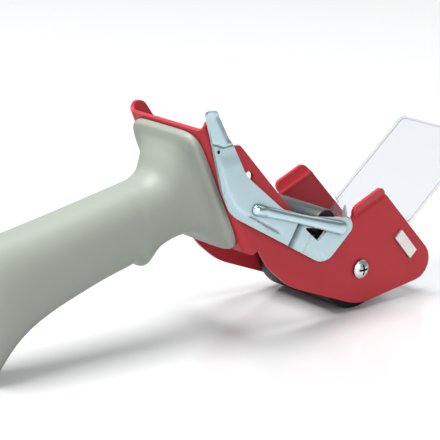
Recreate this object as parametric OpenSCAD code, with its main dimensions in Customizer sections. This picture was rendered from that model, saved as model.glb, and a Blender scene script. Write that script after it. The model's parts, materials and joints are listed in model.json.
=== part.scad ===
// Hand-held packing tape dispenser: folded steel frame, rubber roller, thumb brake, toothed blade,
// clear wiper flap and a moulded grip. Millimetres, Z up, flap towards +X, brake lever on the -Y side.
// It stands on its roller and on the heel of its grip. Origin: middle of its footprint box, on the table.

/* [Frame] */
// Clear width between the two side walls
gap_w = 56; // [52:0.5:66]
// Thickness of the folded sheet
sheet_t = 2; // [1.5:0.1:2.5]
// Outside radius of the two rear bends
bend_r = 4; // [3:0.5:6]
// Lean of the back plate away from upright, in degrees
back_lean = 22.8; // [18:0.2:26]
// Height of the back plate along its slope
back_h = 60.8; // [58:0.2:66]
// Radius of the hanging hole in each side wall
hang_r = 2.75; // [2:0.05:3.5]
// Outward flare of the lip on each front ear, in degrees
lip_flare = 16; // [4:1:24]
// Length of the lip up from its fold
lip_h = 7.2; // [5:0.1:9]

/* [Roller] */
// Outside radius of the rubber tyre
roller_r = 22; // [20:0.25:24]
// Gap between each end of the tyre and its side wall
roller_gap = 1.5; // [1.2:0.1:3]
// Thickness of the rubber
tyre_t = 4; // [3:0.25:6]
// Radius of the fixed axle
axle_r = 4; // [3.5:0.1:5]
// Radius of the thread of the axle screws
axle_screw_r = 2.5; // [2:0.05:3]
// Radius of the axle screw heads
axle_head_r = 5; // [4.4:0.1:6]
// Height of the axle screw heads
axle_head_h = 3.2; // [2.4:0.1:4]

/* [Brake lever] */
// Thickness of the lever plate
lever_t = 1.6; // [1.2:0.1:2]
// Step between the two levels of the lever plate
lever_step = 2; // [1.8:0.1:3]
// Radius of the half-round rib on the lever
rib_r = 3.2; // [2.6:0.1:3.6]
// Radius of the lever's pivot pin
pivot_r = 2.5; // [2:0.05:3]
// Swing of the lever from rest to braking, in degrees
lever_swing = 10.5; // [6:0.5:11]
// Outward lean of the thumb tab, in degrees
tab_lean = 4; // [2:1:12]

/* [Guide roller] */
// Outside radius of the guide roller on the lever's shaft
guide_r = 7; // [6:0.1:7.4]

/* [Brake bar] */
// Radius of the steel bar
bar_r = 2.5; // [2:0.05:2.8]
// Outside radius of the rubber sleeve
sleeve_r = 4.5; // [3.8:0.1:4.6]
// Length of the rubber sleeve
sleeve_w = 46; // [40:0.5:48]

/* [Return spring] */
// Diameter of the spring wire
wire_d = 1; // [0.8:0.05:1]
// Advance of the coil at each turn
spring_pitch = 1.5; // [1.45:0.05:1.7]
// Whole turns of the coil
spring_turns = 3; // [3:1:4]

/* [Blade] */
// Length of the blade holder and of its clinched tabs along their slots
tab_l = 16.6; // [14:0.2:18]
// Thickness of the blade holder sheet
holder_t = 1.5; // [1.2:0.1:1.8]
// Thickness of the toothed blade
blade_t = 0.8; // [0.6:0.05:1]
// Reach of the teeth past the holder's lower edge
blade_reach = 12.4; // [9:0.2:13]
// Pitch of the teeth
tooth_p = 3.25; // [2.5:0.05:5]

/* [Flap] */
// Thickness of the clear flap
flap_t = 2; // [1.5:0.1:2.5]
// Reach of the flap from the holder's corner
flap_l = 76; // [50:1:80]
// Rise of the flap from level, in degrees
flap_rise = 38.9; // [36:0.2:42]

/* [Handle] */
// Half width of the flange on the back plate
flange_hw = 26.5; // [24:0.25:27.5]
// Half width of the grip at its neck
grip_hw = 15.3; // [13:0.1:18]
// Wall of the hollow grip
grip_wall = 3; // [2.5:0.1:4]
// Radius of the thread of the flange screws
grip_screw_r = 2; // [1.6:0.05:2.4]

/* [Hidden] */
$fn = 64;
// Clearances: running fits, loose holes, and the play of pieces that only lie beside each other
run_c = 0.05;
hole_c = 0.2;
side_c = 0.4;
half_in = gap_w / 2;
half_out = half_in + sheet_t;

// Places on the side view, as [forward of the axle, up from a base line under the axle]
axle_z = 24;
base_drop = axle_z - roller_r;
usual_r = 22;
function off_tyre(p) = [0, axle_z] + p * (1 + (roller_r - usual_r) / norm(p));
pivot = off_tyre([-16.5, 25.5]);
bar = off_tyre([-24.4, 16]);
hang = [-73.6, 84.5];
back_foot = [-78.5, 54.6];
foot_v = -8;

// Unit directions of the back plate: up along it, and out of its rear face
back_up = [-sin(back_lean), cos(back_lean)];
back_out = [-cos(back_lean), -sin(back_lean)];

// Side wall outline, each corner as [x, z, corner radius], from the rear foot round by the nose
fold_a = [-4.9, 51.4];
fold_len = 24.4;
fold_dir = 22;
fold_b = fold_a + fold_len * [cos(fold_dir), sin(fold_dir)];
wall_shape = [
    [-86, 50, 0],
    [-70.8, 44.4, 1.5],
    [-67.4, 46.6, 1],
    [-60.5, 35.2, 14],
    [-47, 23.3, 12],
    [-1, 4.8, 32],
    [59.4, 13, 10.4],
    [fold_b[0] + 0.3, fold_b[1], 0],
    [fold_a[0], fold_a[1], 0],
    [-6.4, 47, 1.5],
    [-10.4, 47, 1.5],
    [-11, 54.2, 3],
    [-20.8, 54.2, 4],
    [-29.2, 43.1, 2.5],
    [-78.9, 100.9, 1],
    [-84, 101.2, 2],
    [-93.8, 115.4, 5],
    [-98.4, 115.2, 2.5],
    [-110, 104.2, 0]
];

// Blade head: directions across and along the blade plate, measured from the axle
head_dir = 40.6;
head_n = [cos(head_dir), sin(head_dir)];
head_s = [sin(head_dir), -cos(head_dir)];
head_gap = 3.6;
head_off = roller_r + head_gap;
tab_s0 = 5.9;
holder_hw = half_in - side_c;
flap_root = [0, axle_z] + head_off * head_n + tab_s0 * head_s;
front_edge = 11.7;
flap_root_hw = half_in - 1;
flap_hw = half_in + 1.2;
flap_drop = 1.4;
foot_l = 9.2;
strip_hw = 22;
strip_t = 1.2;
strip_l = 4.4;
strip_down = flap_drop + flap_t + 0.8;
rivet_r = 1.5;
rivet_head_r = 2.9;
rivet_head_h = 1.1;
flap_rivet_y = [-18, 0, 18];
blade_rivet_y = [-17, 0, 17];
finger_y = [-9, 9];
finger_hw = 2;
finger_h = 9.4;
finger_t = 1.1;

// Lever levels, counted outwards from the near wall
wash_t = 0.4;
low_in = half_out + wash_t;
low_out = low_in + lever_t;
high_in = low_in + lever_step;
high_out = high_in + lever_t;
near_reach = high_out + rib_r;
pin_head_r = 3.1;
pin_head_h = lever_step - 0.3;
pin_far = half_out + 2.2;
clip_t = 0.8;

// Lever outline and its window, in the side view
lever_shape = [
    [-98.3, 105.4, 1],
    [-92.9, 80.6, 16],
    [-86.6, 67.6, 14],
    [-31.6, 34.2, 6],
    [-24.4, 33.6, 6],
    [-8.2, 48.2, 4],
    [-10.2, 53.6, 4],
    [-34.9, 58.3, 22],
    [-55.4, 66, 14],
    [-78.6, 86.6, 22],
    [-86, 102.9, 0]
];
window_shape = [[-39.6, 53.4, 0.6], [-31.8, 45.9, 0.8], [-26.3, 49.6, 0.6], [-26.6, 51.4, 0.4]];
joggle_a = [-49.6, 46.9];
joggle_dir = 57;
joggle_w = 7.2;
rib_a = [-70.8, 67.9];
rib_b = pivot;
rib_nose_r = rib_r * 0.88;
hook_hole = [-93.4, 100.2];

// Thumb tab above the crease of the lever
crease_a = [-98.4, 105.2];
crease_dir = -11.5;
crease_l = 12.6;
tab_h = 15.6;

// Handle stations, each as [top point, bottom point, half width, squareness]
function on_back(v, w) = back_foot + v * back_up + w * back_out;
flange_top = back_h - 1.6;
stations = [
    [on_back(flange_top, 0), on_back(foot_v, 0), flange_hw, 7],
    [on_back(flange_top, 3), on_back(foot_v, 3), flange_hw, 7],
    [on_back(flange_top - 0.9, 4.2), on_back(foot_v + 0.9, 4.2), flange_hw - 1, 6.4],
    [on_back(flange_top - 4, 5.8), on_back(-3.6, 5.8), flange_hw - 4, 4.6],
    [on_back(52.4, 8.5), on_back(1.4, 8.5), grip_hw + 3.9, 3.5],
    [on_back(49.4, 12.5), on_back(4.8, 12.5), grip_hw + 1.8, 2.9],
    [on_back(46.2, 19.5), on_back(6.9, 19.5), grip_hw + 0.5, 2.5],
    [[-121, 84.6], [-110, 49.8], grip_hw, 2.4],
    [[-124.2, 84.1], [-113, 47], grip_hw, 2.4],
    [[-128, 83.5], [-117.2, 43.6], grip_hw, 2.4],
    [[-132, 82.8], [-121.6, 45.6], grip_hw + 0.1, 2.4],
    [[-136, 82.1], [-126.4, 45], grip_hw + 0.1, 2.4],
    [[-150, 79.3], [-141.4, 40.4], grip_hw + 0.3, 2.4],
    [[-165, 76.2], [-157, 35.5], grip_hw + 0.6, 2.4],
    [[-180, 73.2], [-172, 29.8], grip_hw + 0.9, 2.4],
    [[-192, 70.9], [-184, 23], grip_hw + 1.1, 2.4],
    [[-200, 69.3], [-191, 17.2], grip_hw + 1.2, 2.4],
    [[-206, 67.6], [-196.5, 10.6], grip_hw + 1, 2.4],
    [[-210.2, 65], [-201, 4.6], grip_hw + 0.4, 2.4],
    [[-213.2, 60.6], [-205.4, -0.5], grip_hw - 1, 2.4],
    [[-214.9, 54.6], [-209.6, 1.4], grip_hw - 4, 2.3],
    [[-215.5, 47], [-212.6, 8.4], grip_hw - 8, 2.2],
    [[-215.6, 38], [-214.2, 20], grip_hw - 12, 2.1]
];
cavity_rows = [7, 11, 12, 13, 14, 15, 16];
butt_x = -215.6;
heel_l = 90;
heel_drop = 20;
ring_n = 28;
grip_screw_v = [14, 38];
grip_screw_y = 9;
grip_screw_l = 14;
grip_head_r = 3.8;
grip_head_h = 2.6;
grip_wash_r = 5;
grip_wash_t = 1;

// Origin of the whole object: its middle in plan, on the table
flap_tip_x = flap_root[0] + flap_l * cos(flap_rise) + (flap_drop + flap_t) * sin(flap_rise);
axle_x = -(flap_tip_x + butt_x) / 2;
far_reach = half_out + axle_head_h;
mid_y = (near_reach - far_reach) / 2;

// Rounded outlines
function unit(v) = v / norm(v);
function corner_arc(a, b, c, r, n = 6) =
    let (u = unit(a - b))
    let (w = unit(c - b))
    let (half = acos(u * w) / 2)
    let (centre = b + unit(u + w) * r / sin(half))
    let (start = b + u * r / tan(half) - centre)
    let (finish = b + w * r / tan(half) - centre)
    let (a0 = atan2(start[1], start[0]))
    let (turn = ((atan2(finish[1], finish[0]) - a0 + 540) % 360) - 180)
    [for (i = [0 : n]) centre + r * [cos(a0 + turn * i / n), sin(a0 + turn * i / n)]];
function flat(p) = [p[0], p[1]];
function rounded(shape) = let (n = len(shape)) [
    for (i = [0 : n - 1])
        let (a = flat(shape[(i + n - 1) % n]))
        let (b = flat(shape[i]))
        let (c = flat(shape[(i + 1) % n]))
        each (shape[i][2] > 0 ? corner_arc(a, b, c, shape[i][2]) : [b])
];

// A plate that lies in the side view and fills y0 to y1
module side_plate(points, y0, y1) {
    translate([0, y1, 0])
        rotate([90, 0, 0])
            linear_extrude(y1 - y0)
                polygon(points);
}

// A round bar along Y at a place in the side view
module cross_bar(p, r, y0, y1) {
    translate([p[0], y0, p[1]])
        rotate([-90, 0, 0])
            cylinder(h = y1 - y0, r = r);
}

// A ring along Y
module cross_ring(p, r_out, r_in, y0, y1) {
    difference() {
        cross_bar(p, r_out, y0, y1);
        cross_bar(p, r_in, y0 - 1, y1 + 1);
    }
}

// Everything below is drawn from the roller axle and then set on the object's own origin
module placed() {
    translate([axle_x, mid_y, -base_drop])
        children();
}

// The back plate's own directions: X forward out of the plate, Z up along it
module at_back() {
    translate([back_foot[0], 0, back_foot[1]])
        rotate([0, -back_lean, 0])
            children();
}

// The blade plate's own directions: X away from the axle, Z up along the blade plate
module at_head() {
    translate([0, 0, axle_z])
        rotate([0, -head_dir, 0])
            children();
}

// The flap's own directions: X out along the flap, Z up from it
module at_flap() {
    translate([flap_root[0], 0, flap_root[1]])
        rotate([0, -flap_rise, 0])
            children();
}

// Frame
module channel() {
    reach = 260;
    low = -150;
    tall = 250;
    at_back() {
        difference() {
            union() {
                translate([bend_r, -half_out, low])
                    cube([reach, 2 * half_out, tall]);
                translate([0, -half_out + bend_r, low])
                    cube([reach, 2 * (half_out - bend_r), tall]);
                for (s = [-1, 1])
                    translate([bend_r, s * (half_out - bend_r), low])
                        cylinder(h = tall, r = bend_r);
            }
            translate([bend_r, -half_in, low - 1])
                cube([reach + 1, 2 * half_in, tall + 2]);
            translate([sheet_t, -half_out + bend_r, low - 1])
                cube([reach + 1, 2 * (half_out - bend_r), tall + 2]);
            for (s = [-1, 1])
                translate([bend_r, s * (half_out - bend_r), low - 1])
                    cylinder(h = tall + 2, r = bend_r - sheet_t);
            translate([-1, -half_out + bend_r, back_h])
                cube([bend_r + 2, 2 * (half_out - bend_r), 60]);
        }
    }
}

module ear_lip() {
    ease = 0.35;
    sunk = 0.6;
    slant = lip_h / 3;
    translate([fold_a[0], -half_out + sheet_t / 2, fold_a[1]])
        rotate([0, -fold_dir, 0])
            rotate([lip_flare, 0, 0])
                side_plate(
                    rounded([
                        [ease, -sunk, 0],
                        [fold_len - ease, -sunk, 0],
                        [fold_len - ease - slant, lip_h, 4],
                        [ease + 0.8, lip_h, 4.2]
                    ]),
                    -sheet_t / 2,
                    sheet_t / 2
                );
}

function turned(p, about, angle) =
    let (d = p - about)
    about + [d[0] * cos(angle) - d[1] * sin(angle), d[0] * sin(angle) + d[1] * cos(angle)];
bar_end = turned(bar, pivot, lever_swing);
slot_r = bar_r + side_c;

function stadium(a, b, r, n = 16) =
    let (run = atan2(b[1] - a[1], b[0] - a[0]))
    concat(
        [for (i = [0 : n]) b + r * [cos(run - 90 + 180 * i / n), sin(run - 90 + 180 * i / n)]],
        [for (i = [0 : n]) a + r * [cos(run + 90 + 180 * i / n), sin(run + 90 + 180 * i / n)]]
    );

module bar_slot() {
    side_plate(stadium(bar, bar_end, slot_r), -half_out - 1, half_out + 1);
}

module frame() {
    color([0.62, 0.11, 0.13])
        placed() {
            difference() {
                union() {
                    intersection() {
                        channel();
                        side_plate(rounded(wall_shape), -half_out - 5, half_out + 5);
                    }
                    ear_lip();
                    mirror([0, 1, 0])
                        ear_lip();
                }
                cross_bar([0, axle_z], axle_screw_r + hole_c, -half_out - 1, half_out + 1);
                cross_bar(hang, hang_r, -half_out - 1, half_out + 1);
                cross_bar(pivot, pivot_r + run_c, -half_out - 1, half_out + 1);
                bar_slot();
                at_head()
                    translate([head_off - hole_c, -half_out - 1, -tab_s0 - tab_l - hole_c])
                        cube([holder_t + 2 * hole_c, 2 * half_out + 2, tab_l + 2 * hole_c]);
                translate([spring_hook[0], -half_in - 1, spring_hook[1]])
                    rotate([-90, 0, 0])
                        cylinder(h = 2, r = wire_d / 2 + hole_c);
                at_back()
                    for (y = [-grip_screw_y, grip_screw_y])
                        for (v = grip_screw_v)
                            translate([-1, y, v])
                                rotate([0, 90, 0])
                                    cylinder(h = sheet_t + 2, r = grip_screw_r + hole_c);
            }
        }
}

// Handle
function sgn_pow(c, e) = sign(c) * pow(abs(c), e);
function station_ring(s, inset) =
    let (top = s[0])
    let (low = s[1])
    let (mid = (top + low) / 2)
    let (rise = unit(top - low))
    let (hh = norm(top - low) / 2 - inset)
    let (hw = s[2] - inset)
    [
        for (i = [0 : ring_n - 1])
            let (a = -360 * (i + 0.5) / ring_n)
            let (v = hh * sgn_pow(sin(a), 2 / s[3]))
            [mid[0] + v * rise[0], hw * sgn_pow(cos(a), 2 / s[3]), mid[1] + v * rise[1]]
    ];
function tube_sides(rows, n) = [
    for (r = [0 : rows - 2])
        for (i = [0 : n - 1])
            let (j = (i + 1) % n)
            each [
                [r * n + i, (r + 1) * n + j, r * n + j],
                [r * n + i, (r + 1) * n + i, (r + 1) * n + j]
            ]
];
function tube_ends(rows, n) = [
    for (i = [1 : n - 2])
        each [
            [0, i, i + 1],
            [(rows - 1) * n, (rows - 1) * n + i + 1, (rows - 1) * n + i]
        ]
];

module tube_form(rings) {
    rows = len(rings);
    n = len(rings[0]);
    polyhedron(
        points = [for (r = rings) each r],
        faces = concat(tube_sides(rows, n), tube_ends(rows, n))
    );
}

module handle() {
    color([0.56, 0.59, 0.55])
        placed() {
            difference() {
                tube_form([for (s = stations) station_ring(s, 0)]);
                tube_form([for (i = cavity_rows) station_ring(stations[i], grip_wall)]);
                translate([butt_x - heel_drop, -2 * grip_hw, base_drop - heel_drop])
                    cube([heel_l, 4 * grip_hw, heel_drop]);
                at_back()
                    for (y = [-grip_screw_y, grip_screw_y])
                        for (v = grip_screw_v)
                            translate([-grip_screw_l, y, v])
                                rotate([0, 90, 0])
                                    cylinder(h = grip_screw_l + 1, r = grip_screw_r + run_c);
            }
        }
}

module cross_recess(depth, arm, wide) {
    translate([-arm, -wide / 2, 0])
        cube([2 * arm, wide, depth + 1]);
    translate([-wide / 2, -arm, 0])
        cube([wide, 2 * arm, depth + 1]);
}

// A screw along -Z with its head on top of Z = 0: a drum edge and a dome, with a cross recess
module pan_screw(thread_r, length, head_r, head_h) {
    dome_r = (head_r * head_r + pow(head_h * 0.6, 2)) / (2 * head_h * 0.6);
    difference() {
        union() {
            cylinder(h = head_h * 0.4, r = head_r);
            intersection() {
                translate([0, 0, head_h - dome_r])
                    sphere(r = dome_r);
                translate([0, 0, head_h * 0.2])
                    cylinder(h = head_h, r = head_r);
            }
            translate([0, 0, -length])
                cylinder(h = length + 0.2, r = thread_r);
        }
        translate([0, 0, head_h * 0.35])
            cross_recess(head_h, head_r * 0.56, head_r * 0.2);
    }
}

module handle_screws() {
    color([0.66, 0.67, 0.68])
        placed()
            at_back()
                for (y = [-grip_screw_y, grip_screw_y])
                    for (v = grip_screw_v)
                        translate([sheet_t + grip_wash_t, y, v])
                            rotate([0, 90, 0])
                                pan_screw(grip_screw_r, grip_screw_l + grip_wash_t, grip_head_r, grip_head_h);
}

module handle_washers() {
    color([0.7, 0.71, 0.72])
        placed()
            at_back()
                for (y = [-grip_screw_y, grip_screw_y])
                    for (v = grip_screw_v)
                        translate([sheet_t, y, v])
                            rotate([0, 90, 0])
                                difference() {
                                    cylinder(h = grip_wash_t, r = grip_wash_r);
                                    translate([0, 0, -1])
                                        cylinder(h = grip_wash_t + 2, r = grip_screw_r + hole_c);
                                }
}

// Roller
core_r = roller_r - tyre_t;
core_hw = half_in - roller_gap;
bush_r = axle_r + 2;
bush_l = 12;
bush_flange_t = 0.6;
bush_lip = 2;
spacer_in = core_hw + bush_flange_t + 0.1;

module about(p) {
    translate([p[0], 0, p[1]])
        rotate([-90, 0, 0])
            rotate_extrude()
                children();
}

module about_axle() {
    about([0, axle_z])
        children();
}

module roller_tyre() {
    edge = 0.8;
    color([0.06, 0.06, 0.065])
        placed()
            about_axle()
                polygon([
                    [core_r, -core_hw],
                    [roller_r - edge, -core_hw],
                    [roller_r, -core_hw + edge],
                    [roller_r, core_hw - edge],
                    [roller_r - edge, core_hw],
                    [core_r, core_hw]
                ]);
}

module roller_core() {
    rim = 3;
    web = 2;
    hub_r = bush_r + 3;
    color([0.12, 0.12, 0.13])
        placed()
            about_axle()
                polygon([
                    [bush_r, -core_hw],
                    [hub_r, -core_hw],
                    [hub_r, -web],
                    [core_r - rim, -web],
                    [core_r - rim, -core_hw],
                    [core_r, -core_hw],
                    [core_r, core_hw],
                    [core_r - rim, core_hw],
                    [core_r - rim, web],
                    [hub_r, web],
                    [hub_r, core_hw],
                    [bush_r, core_hw]
                ]);
}

module roller_bushes() {
    color([0.55, 0.42, 0.24])
        placed()
            for (s = [-1, 1])
                about_axle()
                    polygon([
                        [axle_r + run_c, s * (core_hw - bush_l)],
                        [bush_r, s * (core_hw - bush_l)],
                        [bush_r, s * core_hw],
                        [bush_r + bush_lip, s * core_hw],
                        [bush_r + bush_lip, s * (core_hw + bush_flange_t)],
                        [axle_r + run_c, s * (core_hw + bush_flange_t)]
                    ]);
}

axle_tap = 14;

module roller_axle() {
    color([0.63, 0.64, 0.66])
        placed()
            difference() {
                cross_bar([0, axle_z], axle_r, -half_in, half_in);
                cross_bar([0, axle_z], axle_screw_r + run_c, -half_in - 1, -half_in + axle_tap);
                cross_bar([0, axle_z], axle_screw_r + run_c, half_in - axle_tap, half_in + 1);
            }
}

module axle_spacers() {
    color([0.7, 0.71, 0.72])
        placed() {
            cross_ring([0, axle_z], axle_r + 3, axle_r + hole_c, -half_in, -spacer_in);
            cross_ring([0, axle_z], axle_r + 3, axle_r + hole_c, spacer_in, half_in);
        }
}

module axle_screws() {
    color([0.68, 0.69, 0.71])
        placed()
            for (s = [-1, 1])
                translate([0, s * half_out, axle_z])
                    rotate([-s * 90, 0, 0])
                        pan_screw(axle_screw_r, sheet_t + axle_tap - 2, axle_head_r, axle_head_h);
}

// Brake lever: a plate pressed to two levels, with a thumb tab above its crease
module lever_levels() {
    far = 140;
    translate([joggle_a[0], 0, joggle_a[1]])
        rotate([0, -joggle_dir, 0])
            translate([-far, 0, 0])
                rotate([90, 0, 90])
                    linear_extrude(2 * far)
                        polygon([
                            [-high_out, far],
                            [-high_in, far],
                            [-high_in, 0],
                            [-low_in, -joggle_w],
                            [-low_in, -far],
                            [-low_out, -far],
                            [-low_out, -joggle_w],
                            [-high_out, 0]
                        ]);
}

module thumb_tab() {
    translate([crease_a[0], -high_out, crease_a[1]])
        rotate([0, -crease_dir, 0])
            rotate([tab_lean, 0, 0]) {
                side_plate(
                    rounded([[-0.2, 0, 0], [crease_l, 0, 0], [-0.8, tab_h, 3], [-7, tab_h, 2.4]]),
                    0,
                    lever_t
                );
                translate([-4.6, lever_t, tab_h - 1.6])
                    rotate([0, 90, 0])
                        cylinder(h = 4.6, r = 1.2);
            }
}

module brake_lever() {
    color([0.72, 0.78, 0.8])
        placed() {
            difference() {
                union() {
                    intersection() {
                        side_plate(rounded(lever_shape), -high_out - 5, -half_out + 1);
                        lever_levels();
                    }
                    thumb_tab();
                }
                side_plate(rounded(window_shape), -high_out - 5, -half_out + 1);
                cross_bar(pivot, pivot_r + run_c, -high_out - 5, -half_out + 1);
                cross_bar(hook_hole, 1, -high_out - 5, -half_out + 1);
            }
        }
}

module lever_rib() {
    run = rib_b - rib_a;
    low_end = [for (a = [-90 : 10 : 0]) [rib_nose_r * cos(a), rib_nose_r * sin(a)]];
    high_end = [for (a = [0 : 10 : 90]) [rib_r * cos(a), norm(run) + rib_r * sin(a)]];
    color([0.75, 0.81, 0.83])
        placed()
            intersection() {
                translate([rib_a[0], -high_out, rib_a[1]])
                    rotate([0, 90 - atan2(run[1], run[0]), 0])
                        rotate_extrude()
                            polygon(concat(low_end, high_end));
                translate([-100, -high_out - 10, 0])
                    cube([120, 10, 120]);
            }
}

module lever_pivot() {
    color([0.62, 0.63, 0.65])
        placed() {
            cross_bar(pivot, pin_head_r, -low_out - pin_head_h, -low_out - run_c);
            cross_bar(pivot, pivot_r, -low_out - pin_head_h / 2, pin_far);
        }
}

module pivot_washer() {
    color([0.7, 0.71, 0.72])
        placed()
            cross_ring(pivot, pivot_r + 2, pivot_r + hole_c, -low_in, -half_out);
}

module pivot_clip() {
    color([0.3, 0.31, 0.33])
        placed()
            cross_ring(pivot, pivot_r + 1.6, pivot_r + run_c / 2, half_out + side_c, half_out + side_c + clip_t);
}

// Return spring: one wire from the bar, round the pivot pin, to a hook in the near wall
bar_dir = unit(bar - pivot);
coil_r = pivot_r + wire_d / 2 + 0.35;
coil_y0 = -half_in + side_c + wire_d / 2;
coil_a0 = atan2(-bar_dir[0], bar_dir[1]) + 180;
hook_dir = 15;
coil_a1 = hook_dir - 90;
coil_turn = 360 * spring_turns + ((coil_a1 - coil_a0 + 720) % 360) - 360;
coil_rows = 8 * spring_turns;
hook_l = 14;
function coil_at(k) =
    let (a = coil_a0 + coil_turn * k)
    [
        pivot[0] + coil_r * cos(a),
        coil_y0 + spring_pitch * coil_turn / 360 * k,
        pivot[1] + coil_r * sin(a)
    ];
coil_start = coil_at(0);
coil_end = coil_at(1);
leg_l = norm(bar - pivot) + 3;
leg_tip = coil_start + leg_l * [bar_dir[0], 0, bar_dir[1]];
hook_corner = coil_end + hook_l * [cos(hook_dir), 0, sin(hook_dir)];
spring_hook = [hook_corner[0] + 1, hook_corner[2] + 0.4];
hook_end = [spring_hook[0], -half_in - 0.6, spring_hook[1]];
wire_path = concat(
    [leg_tip],
    [for (k = [0 : coil_rows]) coil_at(k / coil_rows)],
    [hook_corner],
    [[spring_hook[0] - 0.3, hook_corner[1] - 0.4, spring_hook[1] - 0.1]],
    [[spring_hook[0], hook_corner[1] - 1.4, spring_hook[1]]],
    [hook_end]
);
wire_n = len(wire_path);
wire_dirs = [
    for (i = [0 : wire_n - 1])
        unit(wire_path[min(i + 1, wire_n - 1)] - wire_path[max(i - 1, 0)])
];
function across(n, t) = unit(n - (n * t) * t);
wire_sides = [
    for (
        i = 0, n = across([0, 1, 0], wire_dirs[0]);
        i < wire_n;
        i = i + 1, n = i < wire_n ? across(n, wire_dirs[i]) : n
    )
    n
];
wire_rings = [
    for (i = [0 : wire_n - 1])
        [
            for (s = [0 : 5])
                wire_path[i]
                + wire_d / 2 * cos(60 * s) * wire_sides[i]
                + wire_d / 2 * sin(60 * s) * cross(wire_dirs[i], wire_sides[i])
        ]
];
wire_gap = min([
    for (i = [1 : coil_rows - 6])
        for (j = [i + 6 : coil_rows + 1])
            norm(wire_path[i] - wire_path[j]) - wire_d
]);
echo(least_gap_of_the_return_spring_to_itself = wire_gap);

module lever_spring() {
    color([0.5, 0.52, 0.55])
        placed()
            tube_form(wire_rings);
}

// Guide roller, which turns freely on the lever's shaft between the spring and the far wall
guide_end = half_in - wire_d - spring_pitch * spring_turns - 2.5 * side_c;

module guide_roller() {
    edge = 0.6;
    color([0.1, 0.1, 0.11])
        placed()
            about(pivot)
                polygon([
                    [pivot_r + run_c, -guide_end],
                    [guide_r - edge, -guide_end],
                    [guide_r, -guide_end + edge],
                    [guide_r, guide_end - edge],
                    [guide_r - edge, guide_end],
                    [pivot_r + run_c, guide_end]
                ]);
}

// Brake bar, welded to the lever and guided in a slot of each wall
bar_far = half_out + 2.4;

module brake_bar() {
    color([0.62, 0.63, 0.65])
        placed()
            cross_bar(bar, bar_r, -low_in, bar_far);
}

module brake_sleeve() {
    color([0.09, 0.09, 0.1])
        placed()
            cross_ring(bar, sleeve_r, bar_r, -sleeve_w / 2, sleeve_w / 2);
}

module bar_clip() {
    color([0.3, 0.31, 0.33])
        placed()
            cross_ring(bar, bar_r + 1.9, bar_r, half_out + side_c, half_out + side_c + clip_t);
}

// Blade head
strip_z = -tab_s0 - strip_down - strip_l;
flap_rivet_z = strip_z + strip_l / 2;
blade_top = -tab_s0 - foot_l - 0.6;
blade_rivet_z = blade_top - 3.4;

// A row of holes through the blade plate
module head_holes(places, z) {
    at_head()
        for (y = places)
            translate([head_off - 1, y, z])
                rotate([0, 90, 0])
                    cylinder(h = holder_t + flap_t + strip_t + 3, r = rivet_r + run_c);
}

module blade_holder() {
    clinch = 4.4;
    color([0.72, 0.78, 0.8])
        placed()
            difference() {
                union() {
                    at_head()
                        translate([head_off, -holder_hw, -tab_s0 - tab_l])
                            cube([holder_t, 2 * holder_hw, tab_l]);
                    at_head()
                        for (s = [-1, 1]) {
                            translate([head_off, s > 0 ? holder_hw - 1 : -half_out - holder_t, -tab_s0 - tab_l])
                                cube([holder_t, half_out + holder_t - holder_hw + 1, tab_l]);
                            translate([head_off, s > 0 ? half_out : -half_out - holder_t, -tab_s0 - tab_l])
                                cube([holder_t + clinch, holder_t, tab_l]);
                        }
                    for (y = finger_y)
                        translate([flap_root[0] + finger_t / 10, y, flap_root[1] - finger_t / 10])
                            rotate([90, 0, 90])
                                linear_extrude(finger_t)
                                    polygon([
                                        [-finger_hw, 0],
                                        [finger_hw, 0],
                                        [finger_hw * 0.6, finger_h * 0.6],
                                        [0, finger_h],
                                        [-finger_hw * 0.6, finger_h * 0.6]
                                    ]);
                }
                head_holes(blade_rivet_y, blade_rivet_z);
                head_holes(flap_rivet_y, flap_rivet_z);
            }
}

blade_hw = half_in - 2;
tooth_n = floor(2 * blade_hw / tooth_p);
tooth_h = 3;

module blade() {
    low = -tab_s0 - tab_l - blade_reach;
    top = blade_top;
    saw = [for (i = [0 : 2 * tooth_n]) [-blade_hw + i * blade_hw / tooth_n, low + (i % 2 == 0 ? tooth_h : 0)]];
    color([0.78, 0.79, 0.8])
        placed()
            difference() {
                at_head()
                    translate([head_off + holder_t, 0, 0])
                        rotate([90, 0, 90])
                            linear_extrude(blade_t)
                                polygon(concat(saw, [[blade_hw, top], [-blade_hw, top]]));
                head_holes(blade_rivet_y, blade_rivet_z);
            }
}

// A rivet along -Z, its dome on Z = 0
module dome_rivet(length) {
    dome_r = (rivet_head_r * rivet_head_r + rivet_head_h * rivet_head_h) / (2 * rivet_head_h);
    intersection() {
        translate([0, 0, rivet_head_h - dome_r])
            sphere(r = dome_r);
        cylinder(h = rivet_head_h, r = rivet_head_r);
    }
    translate([0, 0, -length])
        cylinder(h = length + 0.2, r = rivet_r);
}

module blade_rivets() {
    color([0.66, 0.67, 0.68])
        placed()
            at_head()
                for (y = blade_rivet_y)
                    translate([head_off + holder_t + blade_t, y, blade_rivet_z])
                        rotate([0, 90, 0])
                            dome_rivet(holder_t + blade_t);
}

// The flap is one bent clear sheet: a foot on the blade plate and a wide plate that rises from it
function on_head(n, z) = [0, axle_z] + n * head_n - z * head_s;
function on_flap(x, z) = flap_root + x * [cos(flap_rise), sin(flap_rise)] + z * [-sin(flap_rise), cos(flap_rise)];
function flap_x(n, z) = (n - head_off - z * sin(head_dir - flap_rise)) / cos(head_dir - flap_rise);

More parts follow.
